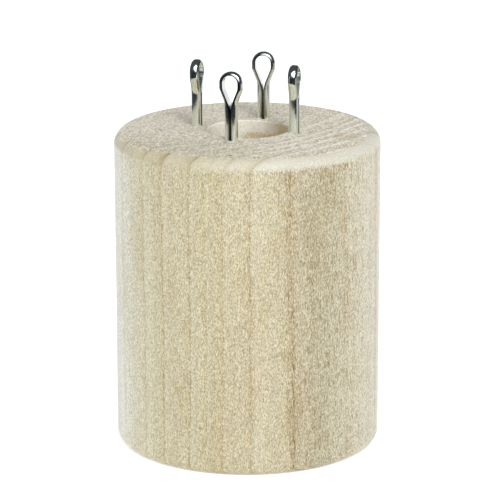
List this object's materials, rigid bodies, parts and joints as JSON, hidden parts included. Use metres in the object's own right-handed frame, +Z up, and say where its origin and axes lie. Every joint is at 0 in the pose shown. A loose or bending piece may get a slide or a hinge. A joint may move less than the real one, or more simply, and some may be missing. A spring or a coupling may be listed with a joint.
{
  "type": "i-cord maker",
  "caption": "Turned wooden spool knitter: a solid round block with a hole right through it and upright looped wire pins around the hole, for knitting a cord.",
  "frame": {"origin": "centre of the block's underside, on the axis of the bore", "axes": "+Z up the bore towards the pins, -Y towards the front pin, +X towards the right pin"},
  "size_m": [0.0636, 0.0636, 0.0926],
  "materials": {
    "wood": "sanded, unfinished pale wood",
    "pin_steel": "bright zinc plate, lightly scratched"
  },
  "bodies": {
    "root": {"turned_block": "wood", "loop_pin_front": "pin_steel", "loop_pin_right": "pin_steel", "loop_pin_back": "pin_steel", "loop_pin_left": "pin_steel"}
  },
  "joints": []
}
